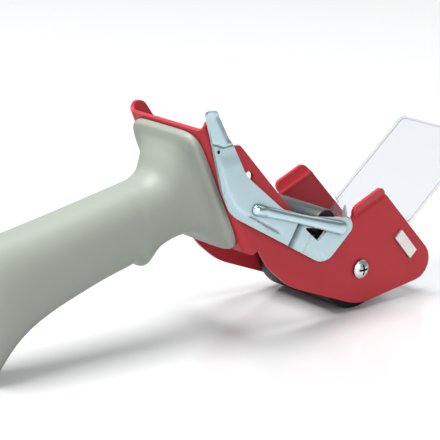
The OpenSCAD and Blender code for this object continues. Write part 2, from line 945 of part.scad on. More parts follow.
module flap() {
    wide_x = front_edge + 1.3;
    low = -flap_drop - flap_t;
    back = head_off + holder_t;
    color([0.85, 0.9, 0.92, 0.5])
        placed()
            difference() {
                intersection() {
                    side_plate(
                        [
                            on_head(back, -tab_s0 - foot_l),
                            on_head(back + flap_t, -tab_s0 - foot_l),
                            on_flap(flap_x(back + flap_t, low), low),
                            on_flap(flap_l + 4, low),
                            on_flap(flap_l + 4, -flap_drop),
                            on_flap(flap_x(back, -flap_drop), -flap_drop)
                        ],
                        -flap_hw - 2,
                        flap_hw + 2
                    );
                    at_flap()
                        translate([0, 0, -flap_l])
                            linear_extrude(2 * flap_l)
                                polygon(rounded([
                                    [-flap_l, -flap_root_hw, 0],
                                    [wide_x, -flap_root_hw, 0.8],
                                    [wide_x, -flap_hw, 1],
                                    [flap_l, -flap_hw, 2],
                                    [flap_l, flap_hw, 2],
                                    [wide_x, flap_hw, 1],
                                    [wide_x, flap_root_hw, 0.8],
                                    [-flap_l, flap_root_hw, 0]
                                ]));
                }
                head_holes(flap_rivet_y, flap_rivet_z);
            }
}

module flap_strip() {
    color([0.72, 0.78, 0.8])
        placed()
            difference() {
                at_head()
                    translate([head_off + holder_t + flap_t, -strip_hw, strip_z])
                        cube([strip_t, 2 * strip_hw, strip_l]);
                head_holes(flap_rivet_y, flap_rivet_z);
            }
}

module flap_rivets() {
    color([0.66, 0.67, 0.68])
        placed()
            at_head()
                for (y = flap_rivet_y)
                    translate([head_off + holder_t + flap_t + strip_t, y, flap_rivet_z])
                        rotate([0, 90, 0])
                            dome_rivet(holder_t + flap_t + strip_t);
}

frame();
handle();
handle_screws();
handle_washers();
roller_tyre();
roller_core();
roller_bushes();
roller_axle();
axle_spacers();
axle_screws();
brake_lever();
lever_rib();
lever_pivot();
pivot_washer();
pivot_clip();
lever_spring();
guide_roller();
brake_bar();
brake_sleeve();
bar_clip();
blade_holder();
blade();
blade_rivets();
flap();
flap_strip();
flap_rivets();
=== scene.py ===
"""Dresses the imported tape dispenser.

The CAD nodes get their finishes, some of them a finer piece in their place, and the whole a stage.
"""
import json
import math

import bmesh
import bpy
from mathutils import Matrix, Vector


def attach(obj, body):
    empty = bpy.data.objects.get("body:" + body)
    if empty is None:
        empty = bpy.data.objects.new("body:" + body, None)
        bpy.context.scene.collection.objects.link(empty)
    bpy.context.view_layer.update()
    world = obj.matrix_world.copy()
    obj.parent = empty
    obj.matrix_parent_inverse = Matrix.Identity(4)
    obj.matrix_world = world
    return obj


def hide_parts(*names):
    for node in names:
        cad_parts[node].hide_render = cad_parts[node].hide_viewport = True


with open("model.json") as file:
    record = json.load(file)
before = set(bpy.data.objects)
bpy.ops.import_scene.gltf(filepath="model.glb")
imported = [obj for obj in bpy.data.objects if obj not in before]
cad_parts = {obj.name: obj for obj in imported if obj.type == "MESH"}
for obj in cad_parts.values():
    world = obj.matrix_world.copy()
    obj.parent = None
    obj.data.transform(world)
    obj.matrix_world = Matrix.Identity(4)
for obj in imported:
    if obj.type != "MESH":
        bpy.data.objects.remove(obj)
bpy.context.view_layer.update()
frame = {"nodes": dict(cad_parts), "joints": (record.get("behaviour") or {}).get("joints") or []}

bl_info = {
    "name": "Packing Tape Dispenser",
    "version": (1, 0, 0),
    "blender": (4, 5, 0),
    "location": "View3D > Sidebar > Dispenser",
    "description": "Builds the looks of a hand-held packing tape dispenser around its CAD frame",
    "category": "Add Mesh",
}

# The record's facts and the roller's axle, from which the side view is measured
JOINTS = {joint["name"]: joint for joint in frame["joints"]}
AXLE = JOINTS["roller_spin"]["pos_m"]
MM = 0.001
# Height of the axle over the side view's base line, and the lever's pivot there, in millimetres
AXLE_HEIGHT = 24.0
PIVOT = (-16.5, 49.5)


def linear(code):
    """An sRGB hex colour as linear red, green and blue."""
    parts = [int(code[i:i + 2], 16) / 255 for i in (1, 3, 5)]
    return tuple(c / 12.92 if c <= 0.04045 else ((c + 0.055) / 1.055) ** 2.4 for c in parts)


def place(x, y, z):
    """A point in metres, from millimetres off the axle, off the mid-plane and over the base line."""
    return Vector((AXLE[0] + x * MM, AXLE[1] + y * MM, AXLE[2] + (z - AXLE_HEIGHT) * MM))


class DispenserColours(bpy.types.PropertyGroup):
    """Colours of the finishes."""
    coat: bpy.props.FloatVectorProperty(
        name="Powder coat", description="Red of the folded frame", subtype="COLOR",
        default=linear("#AC2933"), min=0, max=1)
    grip: bpy.props.FloatVectorProperty(
        name="Grip", description="Grey of the moulded grip", subtype="COLOR",
        default=linear("#8C9289"), min=0, max=1)
    zinc: bpy.props.FloatVectorProperty(
        name="Zinc", description="Blue-white of the plated sheet", subtype="COLOR",
        default=linear("#C4DCE2"), min=0, max=1)
    rubber: bpy.props.FloatVectorProperty(
        name="Rubber", description="Black of the tyre and the brake sleeve", subtype="COLOR",
        default=linear("#0F1011"), min=0, max=1)
    floor: bpy.props.FloatVectorProperty(
        name="Floor", description="Tone of the studio floor", subtype="COLOR",
        default=linear("#C8C9CA"), min=0, max=1)


class DispenserSizes(bpy.types.PropertyGroup):
    """Sizes of the dressing."""
    sheet_edge: bpy.props.FloatProperty(
        name="Sheet edge", description="Rounding of the cut edges of the coated sheet", unit="LENGTH",
        default=0.35 * MM, min=0.05 * MM, max=0.8 * MM)
    plate_edge: bpy.props.FloatProperty(
        name="Plate edge", description="Rounding of the edges of the plated sheet", unit="LENGTH",
        default=0.25 * MM, min=0.05 * MM, max=0.6 * MM)
    grain: bpy.props.FloatProperty(
        name="Grain", description="Width of the moulded grain on the grip", unit="LENGTH",
        default=0.7 * MM, min=0.3 * MM, max=2 * MM)
    peel: bpy.props.FloatProperty(
        name="Orange peel", description="Width of the ripples in the powder coat", unit="LENGTH",
        default=1.6 * MM, min=0.8 * MM, max=4 * MM)


def colours():
    """The user's colours."""
    return bpy.context.scene.dispenser_colours


def sizes():
    """The user's sizes."""
    return bpy.context.scene.dispenser_sizes


# Materials

# Widths of the patterns in the finishes, in millimetres
COAT_CLOUD = 35
GRIP_CLOUD = 60
ZINC_CLOUD = 14
BLACK_RING = 0.5
BLACK_DUST = 9
CLEAR_HAZE = 22
FLOOR_MOTTLE = 80
# The rolling direction of metal in the side view, and how far its streaks and the rings of black pieces are
# drawn out
ROLLED_AT = math.radians(32)
ROLLED_OUT = 0.12
RINGED_OUT = 0.05
# Painted shade in the hollows of metal: the openness over which it goes from dark to none, and its dark tone
HOLLOW_SHADE_OPEN = (0.45, 0.95)
HOLLOW_SHADE_TONE = 0.12
# Painted shade behind the lever's step: its start, then its darkest place and its end in millimetres, its
# least light and its tone
STEP_SHADE_START = 0.05
STEP_SHADE_BAND = (1.1, 5.6)
STEP_SHADE_LEAST = 0.12
STEP_SHADE_TONE = 0.04


def add_node(tree, kind, settings=None, links=None):
    """Adds one shader node with its settings and links."""
    node = tree.nodes.new(kind)
    for key, value in (settings or {}).items():
        if isinstance(key, int) or key in node.inputs:
            node.inputs[key].default_value = value
        else:
            setattr(node, key, value)
    for key, source in (links or {}).items():
        tree.links.new(source, node.inputs[key])
    return node


def start_material(name, settings):
    """A material with one principled shader, as (material, tree, shader, coordinates in metres)."""
    mat = bpy.data.materials.new(name)
    mat.use_nodes = True
    tree = mat.node_tree
    tree.nodes.clear()
    shader = add_node(tree, "ShaderNodeBsdfPrincipled", settings)
    add_node(tree, "ShaderNodeOutputMaterial", links={"Surface": shader.outputs["BSDF"]})
    metres = add_node(tree, "ShaderNodeTexCoord").outputs["Object"]
    return mat, tree, shader, metres


def rgba(colour, share=1.0):
    """A linear colour at a share of its brightness, for a socket."""
    return (colour[0] * share, colour[1] * share, colour[2] * share, 1.0)


def tinted(tree, shader, factor, dark, light):
    """Lets a pattern run the base colour between two tones."""
    ramp = add_node(tree, "ShaderNodeMix", {"data_type": "RGBA", 6: dark, 7: light}, {0: factor})
    tree.links.new(ramp.outputs[2], shader.inputs["Base Color"])


def roughened(tree, shader, factor, low, high):
    """Lets a pattern run the roughness between two values."""
    span = add_node(tree, "ShaderNodeMapRange", {"To Min": low, "To Max": high}, {"Value": factor})
    tree.links.new(span.outputs["Result"], shader.inputs["Roughness"])


def bumped(tree, shader, height, depth, strength):
    """Lets a pattern raise the surface by a depth in metres."""
    bump = add_node(tree, "ShaderNodeBump", {"Strength": strength, "Distance": depth}, {"Height": height})
    tree.links.new(bump.outputs["Normal"], shader.inputs["Normal"])


def powder_coated_steel():
    """Steel sheet with a baked polyester powder: satin red with a soft orange peel."""
    name = "powder_coated_steel_red"
    if name in bpy.data.materials:
        return bpy.data.materials[name]
    red = colours().coat
    mat, tree, shader, metres = start_material(name, {"IOR": 1.4, "Specular IOR Level": 0.45})
    peel = add_node(
        tree, "ShaderNodeTexNoise", {"Scale": 1 / sizes().peel, "Detail": 2.0}, {"Vector": metres})
    cloud = add_node(
        tree, "ShaderNodeTexNoise", {"Scale": 1 / (COAT_CLOUD * MM), "Detail": 3.0}, {"Vector": metres})
    tinted(tree, shader, cloud.outputs["Fac"], dark=rgba(red, 0.9), light=rgba(red, 1.08))
    roughened(tree, shader, cloud.outputs["Fac"], low=0.36, high=0.48)
    bumped(tree, shader, peel.outputs["Fac"], depth=0.05 * MM, strength=0.35)
    return mat


def moulded_abs():
    """ABS from a spark-eroded mould: a matt grain and a faint clouding.

    The grain is drawn coarser than the real one, so that it shows.
    """
    name = "moulded_abs_grey"
    if name in bpy.data.materials:
        return bpy.data.materials[name]
    grey = colours().grip
    mat, tree, shader, metres = start_material(name, {"IOR": 1.53})
    grain = add_node(
        tree, "ShaderNodeTexNoise", {"Scale": 1 / sizes().grain, "Detail": 3.0}, {"Vector": metres})
    cloud = add_node(
        tree, "ShaderNodeTexNoise", {"Scale": 1 / (GRIP_CLOUD * MM), "Detail": 2.0}, {"Vector": metres})
    tinted(tree, shader, cloud.outputs["Fac"], dark=rgba(grey, 0.94), light=rgba(grey, 1.04))
    roughened(tree, shader, grain.outputs["Fac"], low=0.42, high=0.6)
    bumped(tree, shader, grain.outputs["Fac"], depth=0.04 * MM, strength=0.3)
    return mat


def worked_metal(name, colour, low, high, grain_mm, reach_mm=3.4):
    """Plated, drawn or ground metal: clouded, with streaks from rolling, and painted shade that darkens its
    hollows.

    The streaks are drawn coarser than the real ones, so that they show.
    """
    if name in bpy.data.materials:
        return bpy.data.materials[name]
    mat, tree, shader, metres = start_material(name, {"Metallic": 1.0})
    along = add_node(
        tree, "ShaderNodeMapping", {"Rotation": (0, ROLLED_AT, 0), "Scale": (ROLLED_OUT, 1, 1)},
        {"Vector": metres})
    streak = add_node(
        tree, "ShaderNodeTexNoise", {"Scale": 1 / (grain_mm * MM), "Detail": 4.0},
        {"Vector": along.outputs["Vector"]})
    cloud = add_node(
        tree, "ShaderNodeTexNoise", {"Scale": 1 / (ZINC_CLOUD * MM), "Detail": 4.0}, {"Vector": metres})
    tone = add_node(
        tree, "ShaderNodeMix", {"data_type": "RGBA", 6: rgba(colour, 0.9), 7: rgba(colour, 1.06)},
        {0: cloud.outputs["Fac"]})
    # Painted shade: ambient occlusion darkens the base colour in hollows, creases and under edges
    hollow = add_node(tree, "ShaderNodeAmbientOcclusion", {"samples": 8, "Distance": reach_mm * MM})
    dull = add_node(
        tree, "ShaderNodeMapRange", {"From Min": HOLLOW_SHADE_OPEN[0], "From Max": HOLLOW_SHADE_OPEN[1]},
        {"Value": hollow.outputs["AO"]})
    shade = add_node(
        tree, "ShaderNodeMix", {"data_type": "RGBA", 6: rgba(colour, HOLLOW_SHADE_TONE)},
        {0: dull.outputs["Result"], 7: tone.outputs[2]})
    tree.links.new(shade.outputs[2], shader.inputs["Base Color"])
    roughened(tree, shader, streak.outputs["Fac"], low, high)
    bumped(tree, shader, streak.outputs["Fac"], depth=0.02 * MM, strength=0.25)
    return mat


def zinc_sheet():
    """Rolled sheet, zinc plated and passivated: a satin blue-white."""
    return worked_metal("zinc_plated_sheet_passivated", colours().zinc, low=0.22, high=0.4, grain_mm=0.9)


def zinc_holder():
    """Zinc plate left without the blue passivation: a lighter, warmer grey."""
    mat = worked_metal("zinc_plated_sheet_plain", linear("#EAE7E0"), low=0.42, high=0.55, grain_mm=0.9)
    mat.node_tree.nodes["Principled BSDF"].inputs["Metallic"].default_value = 0.5
    return mat


def zinc_bright():
    """Zinc plate, polished: the same blue-white with clearer reflections."""
    return worked_metal(
        "zinc_plated_strap_polished", colours().zinc, low=0.14, high=0.26, grain_mm=0.7, reach_mm=1.1)


def zinc_lever():
    """The lever's sheet, with painted shade behind its step: a dark band that fades away."""
    mat = worked_metal("zinc_plated_lever_pressed", colours().zinc, low=0.22, high=0.4, grain_mm=0.9)
    tree = mat.node_tree
    shader = tree.nodes["Principled BSDF"]
    run = (Vector(STEP[1]) - Vector(STEP[0])).normalized()
    foot = place(STEP[0][0], 0, STEP[0][1])
    across = (run.y, 0, -run.x)
    metres = add_node(tree, "ShaderNodeTexCoord").outputs["Object"]
    from_foot = add_node(tree, "ShaderNodeVectorMath", {"operation": "SUBTRACT", 1: foot}, {0: metres})
    over = add_node(
        tree, "ShaderNodeVectorMath", {"operation": "DOT_PRODUCT", 1: across},
        {0: from_foot.outputs["Vector"]})
    fade = add_node(
        tree, "ShaderNodeMapRange",
        {"From Min": STEP_SHADE_BAND[0] * MM, "From Max": STEP_SHADE_BAND[1] * MM, "To Min": STEP_SHADE_LEAST, "To Max": 1.0},
        {"Value": over.outputs["Value"]})
    before = add_node(
        tree, "ShaderNodeMath", {"operation": "LESS_THAN", 1: STEP_SHADE_START * MM}, {0: over.outputs["Value"]})
    kept = add_node(
        tree, "ShaderNodeMath", {"operation": "MAXIMUM"},
        {0: fade.outputs["Result"], 1: before.outputs["Value"]})
    unshaded_colour = shader.inputs["Base Color"].links[0].from_socket
    # Painted shade: a band behind the step darkens the base colour towards its dark tone
    step_shaded = add_node(
        tree, "ShaderNodeMix", {"data_type": "RGBA", 6: rgba(colours().zinc, STEP_SHADE_TONE)},
        {0: kept.outputs["Value"], 7: unshaded_colour})
    tree.links.new(step_shaded.outputs[2], shader.inputs["Base Color"])
    return mat


def zinc_fastener():
    """Screws, rivets and washers, rolled or stamped and zinc plated: a plain bright grey."""
    return worked_metal("zinc_plated_fastener_rolled", linear("#D5DADC"), low=0.22, high=0.36, grain_mm=0.5)


def drawn_steel():
    """Bright drawn steel bar: a clear light grey."""
    return worked_metal("bright_drawn_steel_bar", linear("#C9CCCF"), low=0.2, high=0.32, grain_mm=0.4)


def ground_steel():
    """Hardened blade strip, ground: a light grey with sharp reflections."""
    return worked_metal("hardened_steel_ground_blade", linear("#D8DADC"), low=0.16, high=0.28, grain_mm=0.35)


def blackened_steel():
    """Spring steel clips, blackened in oil: a dull dark grey."""
    return worked_metal("spring_steel_oil_blackened", linear("#4A4C50"), low=0.3, high=0.45, grain_mm=0.4)


def spring_wire():
    """Spring wire, drawn: a mid grey with a soft gloss."""
    return worked_metal("spring_wire_drawn", linear("#AEB3B8"), low=0.24, high=0.36, grain_mm=0.3)


def bush_bronze():
    """Sintered bronze, pressed from powder and oil-filled: a matt brown-gold."""
    return worked_metal("sintered_bronze_pressed", linear("#B58A4E"), low=0.38, high=0.55, grain_mm=0.3)


def ringed_black(name, black, gloss, low, high):
    """Black rubber or plastic: fine rings round the axle and faint dust.

    The rings are drawn coarser than the real ones, so that they show.
    """
    if name in bpy.data.materials:
        return bpy.data.materials[name]
    mat, tree, shader, metres = start_material(name, {"Specular IOR Level": gloss})
    rings = add_node(tree, "ShaderNodeMapping", {"Scale": (RINGED_OUT, 1, RINGED_OUT)}, {"Vector": metres})
    line = add_node(
        tree, "ShaderNodeTexNoise", {"Scale": 1 / (BLACK_RING * MM), "Detail": 2.0},
        {"Vector": rings.outputs["Vector"]})
    dust = add_node(
        tree, "ShaderNodeTexNoise", {"Scale": 1 / (BLACK_DUST * MM), "Detail": 4.0}, {"Vector": metres})
    tinted(tree, shader, dust.outputs["Fac"], dark=rgba(black, 0.8), light=rgba(black, 1.5))
    roughened(tree, shader, line.outputs["Fac"], low, high)
    bumped(tree, shader, line.outputs["Fac"], depth=0.03 * MM, strength=0.4)
    return mat


def tyre_rubber():
    """Nitrile rubber, ground on a lathe: a satin black."""
    return ringed_black("nitrile_rubber_ground", colours().rubber, gloss=0.14, low=0.34, high=0.46)


def sleeve_rubber():
    """Rubber tube, extruded: a matt black."""
    return ringed_black("rubber_tube_extruded", colours().rubber, gloss=0.2, low=0.45, high=0.6)


def core_plastic():
    """Black moulded polyamide: a dull even black."""
    return ringed_black("polyamide_moulded_black", colours().rubber, gloss=0.5, low=0.4, high=0.55)


def tube_plastic():
    """Black acetal tube, turned: a soft grey gloss along its top."""
    return ringed_black("acetal_turned_black", linear("#2B2D31"), gloss=0.7, low=0.34, high=0.44)


def clear_sheet(name, tint, veil, low, high):
    """Clear PVC sheet: light passes with a faint tint, under a thin veil of reflected white."""
    if name in bpy.data.materials:
        return bpy.data.materials[name]
    mat, tree, shader, metres = start_material(name, {"IOR": 1.5, "Base Color": rgba(linear("#EEF2F5"))})
    haze = add_node(
        tree, "ShaderNodeTexNoise", {"Scale": 1 / (CLEAR_HAZE * MM), "Detail": 3.0}, {"Vector": metres})
    roughened(tree, shader, haze.outputs["Fac"], low, high)
    clear = add_node(tree, "ShaderNodeBsdfTransparent", {"Color": rgba(linear(tint))})
    both = add_node(
        tree, "ShaderNodeMixShader", {0: veil}, {1: clear.outputs["BSDF"], 2: shader.outputs["BSDF"]})
    tree.links.new(both.outputs["Shader"], tree.nodes["Material Output"].inputs["Surface"])
    return mat


def clear_face():
    """The calendered faces: almost invisible, with a soft gloss."""
    return clear_sheet("clear_pvc_sheet_calendered", "#F3F4F6", veil=0.03, low=0.12, high=0.2)


def clear_edge():
    """The punched edges: grey lines, because light leaves them another way."""
    return clear_sheet("clear_pvc_sheet_punched_edge", "#B2B6B9", veil=0.2, low=0.3, high=0.45)


def studio_floor():
    """Satin white laminate sheet: pale, with a faint mottle and a soft mirror at a low angle."""
    mat, tree, shader, metres = start_material("satin_white_laminate", {"IOR": 1.5})
    mottle = add_node(
        tree, "ShaderNodeTexNoise", {"Scale": 1 / (FLOOR_MOTTLE * MM), "Detail": 2.0}, {"Vector": metres})
    pale = colours().floor
    tinted(tree, shader, mottle.outputs["Fac"], dark=rgba(pale, 0.985), light=rgba(pale))
    roughened(tree, shader, mottle.outputs["Fac"], low=0.16, high=0.22)
    return mat


# Geometry

# How close points of a CAD node are joined, in metres, and the least angle of a softened edge, in degrees
WELD_GAP = 1e-6
DRESS_ANGLE = 32
# How close a cut snaps to the points of a flat sheet, in millimetres
CUT_SNAP = 1e-5


def arc_corner(before, corner, after, radius, steps=6):
    """Points that round one corner of an outline."""
    corner = Vector(corner)
    u = (Vector(before) - corner).normalized()
    w = (Vector(after) - corner).normalized()
    half = u.angle(w) / 2
    centre = corner + (u + w).normalized() * radius / math.sin(half)
    start = corner + u * radius / math.tan(half) - centre
    end = corner + w * radius / math.tan(half) - centre
    turn = start.angle_signed(end)
    return [centre + Matrix.Rotation(-turn * i / steps, 2) @ start for i in range(steps + 1)]


def rounded(shape):
    """An outline of [x, z, corner radius] rows as points."""
    points = []
    for i, (x, z, radius) in enumerate(shape):
        before, after = shape[i - 1][:2], shape[(i + 1) % len(shape)][:2]
        points += arc_corner(before, (x, z), after, radius) if radius else [Vector((x, z))]
    return points


def steady_curve(stops, values):
    """A smooth curve through values at the stops that never overshoots, as a function."""
    slope = [(b - a) / (q - p) for a, b, p, q in zip(values, values[1:], stops, stops[1:])]
    inner = [2 * a * b / (a + b) if a * b > 0 else 0.0 for a, b in zip(slope, slope[1:])]
    tangent = [slope[0], *inner, slope[-1]]

    def at(t):
        i = max(k for k in range(len(slope)) if t >= stops[k] - 1e-9)
        h = stops[i + 1] - stops[i]
        s = (t - stops[i]) / h
        return (
            values[i] * (1 + 2 * s) * (1 - s) ** 2 + values[i + 1] * s * s * (3 - 2 * s)
            + h * tangent[i] * s * (1 - s) ** 2 - h * tangent[i + 1] * s * s * (1 - s))

    return at


def new_piece(name, mesh, material, body, replaced):
    """Puts a mesh in the scene as a piece of the object."""
    piece = bpy.data.objects.new(name, mesh)
    bpy.context.scene.collection.objects.link(piece)
    mesh.materials.append(material)
    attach(piece, body)
    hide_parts(*replaced)
    return piece


def smooth_faces(mesh, angle):
    """Smooth shading, with the edges above an angle kept sharp."""
    mesh.shade_smooth()
    mesh.set_sharp_from_angle(angle=math.radians(angle))


def soften(piece, width, angle=50):
    """Rounds the sharp edges of a piece and returns the modifier that does it."""
    bevel = piece.modifiers.new("softened", "BEVEL")
    bevel.width = width
    bevel.segments = 2
    bevel.limit_method = "ANGLE"
    bevel.angle_limit = math.radians(angle)
    bevel.harden_normals = True
    return bevel


def dress(node, material, edge=0.0):
    """Gives a CAD node its finish and, where asked, softened edges."""
    obj = frame["nodes"][node]
    obj.data.materials.clear()
    obj.data.materials.append(material)
    if edge:
        weld = obj.modifiers.new("joined", "WELD")
        weld.merge_threshold = WELD_GAP
        soften(obj, edge, DRESS_ANGLE)


def ringed_mesh(name, rings):
    """A closed mesh over rings of points, with both ends filled."""
    bm = bmesh.new()
    rows = [[bm.verts.new(p) for p in ring] for ring in rings]
    for low, high in zip(rows, rows[1:]):
        for i in range(len(low)):
            j = (i + 1) % len(low)
            bm.faces.new((low[i], low[j], high[j], high[i]))
    bm.faces.new(reversed(rows[0]))
    bm.faces.new(rows[-1])
    bmesh.ops.recalc_face_normals(bm, faces=bm.faces)
    mesh = bpy.data.meshes.new(name)
    bm.to_mesh(mesh)
    bm.free()
    return mesh


def circle(centre, radius, count=24):
    """Points round a circle."""
    turns = [math.tau * i / count for i in range(count)]
    return [Vector((centre[0] + radius * math.cos(a), centre[1] + radius * math.sin(a))) for a in turns]


def ease(t):
    """Runs smoothly from 0 to 1."""
    t = min(1.0, max(0.0, t))
    return t * t * (3 - 2 * t)


def ridge(t):
    """A soft hump of height 1 over -1 to 1."""
    return (1 - t * t) ** 2 if abs(t) < 1 else 0.0


def right_of(point, start, end):
    """Distance of a point to the right of a line, looking along it."""
    run = (Vector(end) - Vector(start)).normalized()
    d = Vector(point) - Vector(start)
    return d.x * run.y - d.y * run.x


def sheet_mesh(name, outline, holes, step, lines, level, thickness, put):
    """A formed sheet: an outline with holes, cut into a grid and along lines, then raised and thickened.

    Each line is a start, an end and the offsets to its right at which the sheet is cut. The level gives the
    height of the upper face over a point of the flat outline, and put places a point at a height in space.
    """
    bm = bmesh.new()
    edges = []
    for loop in [outline, *holes]:
        verts = [bm.verts.new((p[0], p[1], 0)) for p in loop]
        edges += [bm.edges.new((verts[i - 1], verts[i])) for i in range(len(verts))]
    bmesh.ops.triangle_fill(bm, use_beauty=True, edges=edges)
    low = [min(p[i] for p in outline) for i in (0, 1)]
    high = [max(p[i] for p in outline) for i in (0, 1)]
    cuts = [((low[0] + step * k, 0, 0), (1, 0, 0)) for k in range(1, int((high[0] - low[0]) / step) + 1)]
    cuts += [((0, low[1] + step * k, 0), (0, 1, 0)) for k in range(1, int((high[1] - low[1]) / step) + 1)]
    for spot, across in cuts:
        bmesh.ops.bisect_plane(
            bm, geom=bm.verts[:] + bm.edges[:] + bm.faces[:], dist=CUT_SNAP, plane_co=spot, plane_no=across)
    for start, end, offsets in lines:
        start, end = Vector(start), Vector(end)
        run = (end - start).normalized()
        across = Vector((run.y, -run.x))
        for offset in offsets:
            near = [
                f for f in bm.faces
                if -step < (f.calc_center_median().xy - start).dot(run) < (end - start).length + step
                and abs((f.calc_center_median().xy - start).dot(across) - offset) < 2 * step]
            geom = set(near)
            for f in near:
                geom.update(f.verts)
                geom.update(f.edges)
            spot = start + across * offset
            bmesh.ops.bisect_plane(
                bm, geom=list(geom), dist=CUT_SNAP, plane_co=spot.to_3d(), plane_no=across.to_3d())
    bmesh.ops.triangulate(bm, faces=[f for f in bm.faces if len(f.verts) > 4])
    bm.verts.index_update()
    rim = {frozenset(v.index for v in e.verts) for e in bm.edges if e.is_boundary}
    count = len(bm.verts)
    tops = [(v.co.x, v.co.y, level(v.co.x, v.co.y)) for v in bm.verts]
    points = [put(a, b, h) for a, b, h in tops] + [put(a, b, h - thickness) for a, b, h in tops]
    faces = []
    for f in bm.faces:
        ring = [v.index for v in f.verts]
        if f.normal.z < 0:
            ring.reverse()
        faces += [ring, [i + count for i in reversed(ring)]]
        for a, b in zip(ring, ring[1:] + ring[:1]):
            if frozenset((a, b)) in rim:
                faces.append([b, a, a + count, b + count])
    bm.free()
    mesh = bpy.data.meshes.new(name)
    mesh.from_pydata(points, [], faces)
    return mesh


# Grip

# The back plate's foot in the side view and its lean, which the flange follows
BACK_FOOT = (-78.5, 54.6)
BACK_LEAN = math.radians(22.8)
# The flange's ends up the back plate, and the half widths of the flange and of the grip
FLANGE_TOP = 59.2
FLANGE_FOOT = -8.0
FLANGE_HW = 26.5
GRIP_HW = 15.3
# Rings between two stations of the grip, and points round a ring
GRIP_STEPS = 5
GRIP_RING = 80


def on_back(v, w):
    """The side view point that lies v up the back plate and w out of its rear face."""
    return (
        BACK_FOOT[0] - v * math.sin(BACK_LEAN) - w * math.cos(BACK_LEAN),
        BACK_FOOT[1] + v * math.cos(BACK_LEAN) - w * math.sin(BACK_LEAN))


# Stations from the flange to the butt: top point, bottom point, half width, squareness
GRIP_STATIONS = [
    (on_back(FLANGE_TOP - 0.5, 0), on_back(FLANGE_FOOT + 0.5, 0), FLANGE_HW - 0.5, 7),
    (on_back(FLANGE_TOP, 0.5), on_back(FLANGE_FOOT, 0.5), FLANGE_HW, 7),
    (on_back(FLANGE_TOP, 2.6), on_back(FLANGE_FOOT, 2.6), FLANGE_HW, 7),
    (on_back(FLANGE_TOP - 0.9, 4.2), on_back(FLANGE_FOOT + 0.9, 4.2), FLANGE_HW - 1, 6.4),
    (on_back(FLANGE_TOP - 4, 5.8), on_back(-3.6, 5.8), FLANGE_HW - 4, 4.6),
    (on_back(52.4, 8.5), on_back(1.4, 8.5), GRIP_HW + 3.9, 3.5),
    (on_back(49.4, 12.5), on_back(4.8, 12.5), GRIP_HW + 1.8, 2.9),
    (on_back(44.4, 18.9), on_back(6.9, 19.5), GRIP_HW + 0.5, 2.5),
    ((-120, 84.2), (-110, 49.8), GRIP_HW, 2.4),
    ((-124.2, 83.4), (-113, 47.3), GRIP_HW, 2.4),
    ((-128, 82.6), (-119.3, 41.8), GRIP_HW, 2.4),
    ((-132, 81.8), (-124.4, 44.3), GRIP_HW + 0.1, 2.4),
    ((-136, 81), (-129.2, 43.1), GRIP_HW + 0.1, 2.4),
    ((-150, 78.1), (-141.4, 40), GRIP_HW + 0.3, 2.4),
    ((-165, 75.2), (-157, 35.1), GRIP_HW + 0.6, 2.4),
    ((-180, 72.4), (-172, 29.7), GRIP_HW + 0.9, 2.4),
    ((-192, 70.3), (-184, 23.8), GRIP_HW + 1.1, 2.4),
    ((-200, 69), (-191, 18.7), GRIP_HW + 1.2, 2.4),
    ((-206, 67.5), (-197, 12.6), GRIP_HW + 1, 2.4),
    ((-210.2, 65), (-202, 6), GRIP_HW + 0.4, 2.4),
    ((-213.2, 60.6), (-206.4, -0.5), GRIP_HW - 1, 2.4),
    ((-214.9, 54.6), (-209.6, 1.4), GRIP_HW - 4, 2.3),
    ((-215.5, 47), (-212.6, 8.4), GRIP_HW - 8, 2.2),
    ((-215.6, 38), (-214.2, 20), GRIP_HW - 12, 2.1),
]


def grip_ring(top, low, half_width, squareness):
    """One cross-section of the grip: a squared ellipse between its top and bottom, cut flat at the table."""
    mid = ((top[0] + low[0]) / 2, (top[1] + low[1]) / 2)
    half = ((top[0] - low[0]) / 2, (top[1] - low[1]) / 2)
    points = []
    for i in range(GRIP_RING):
        a = math.tau * (i + 0.5) / GRIP_RING
        side = math.copysign(abs(math.cos(a)) ** (2 / squareness), math.cos(a))
        up = math.copysign(abs(math.sin(a)) ** (2 / squareness), math.sin(a))
        points.append(place(mid[0] + up * half[0], side * half_width, mid[1] + up * half[1]))
        points[-1].z = max(0.0, points[-1].z)
    return points


class DISPENSER_OT_grip(bpy.types.Operator):
    """Moulded grip: a flange on the back plate that flows through a neck into a hooked hand grip"""
    bl_idname = "dispenser.grip"
    bl_label = "Grip"

    def execute(self, context):
        stops = [0.0]
        for a, b in zip(GRIP_STATIONS, GRIP_STATIONS[1:]):
            step = max(math.dist(a[0], b[0]), math.dist(a[1], b[1]), abs(a[2] - b[2]))
            stops.append(stops[-1] + step)
        rows = [(*top, *low, half_width, squareness) for top, low, half_width, squareness in GRIP_STATIONS]
        curves = [steady_curve(stops, values) for values in zip(*rows)]
        rings = []
        for i in range((len(stops) - 1) * GRIP_STEPS + 1):
            k = min(i // GRIP_STEPS, len(stops) - 2)
            t = stops[k] + (stops[k + 1] - stops[k]) * (i / GRIP_STEPS - k)
            top_x, top_z, low_x, low_z, half_width, squareness = (curve(t) for curve in curves)
            rings.append(grip_ring((top_x, top_z), (low_x, low_z), half_width, squareness))
        mesh = ringed_mesh("grip_moulding", rings)
        smooth_faces(mesh, 50)
        new_piece("grip_moulding", mesh, moulded_abs(), "frame", ["handle"])
        return {"FINISHED"}


# Frame

# One folded sheet. Its points, laid flat, are given along it from the mid-plane and up the back plate.
# Half width over the walls, outer radius and steps of the bend, thickness, grid of cuts, back plate's ends
HALF_OUT = 30.0
BEND = 4.0
BEND_STEPS = 8
SHEET_T = 2.0
SHEET_GRID = 6.0
BACK_LOW = -9.4
BACK_TOP = 60.8
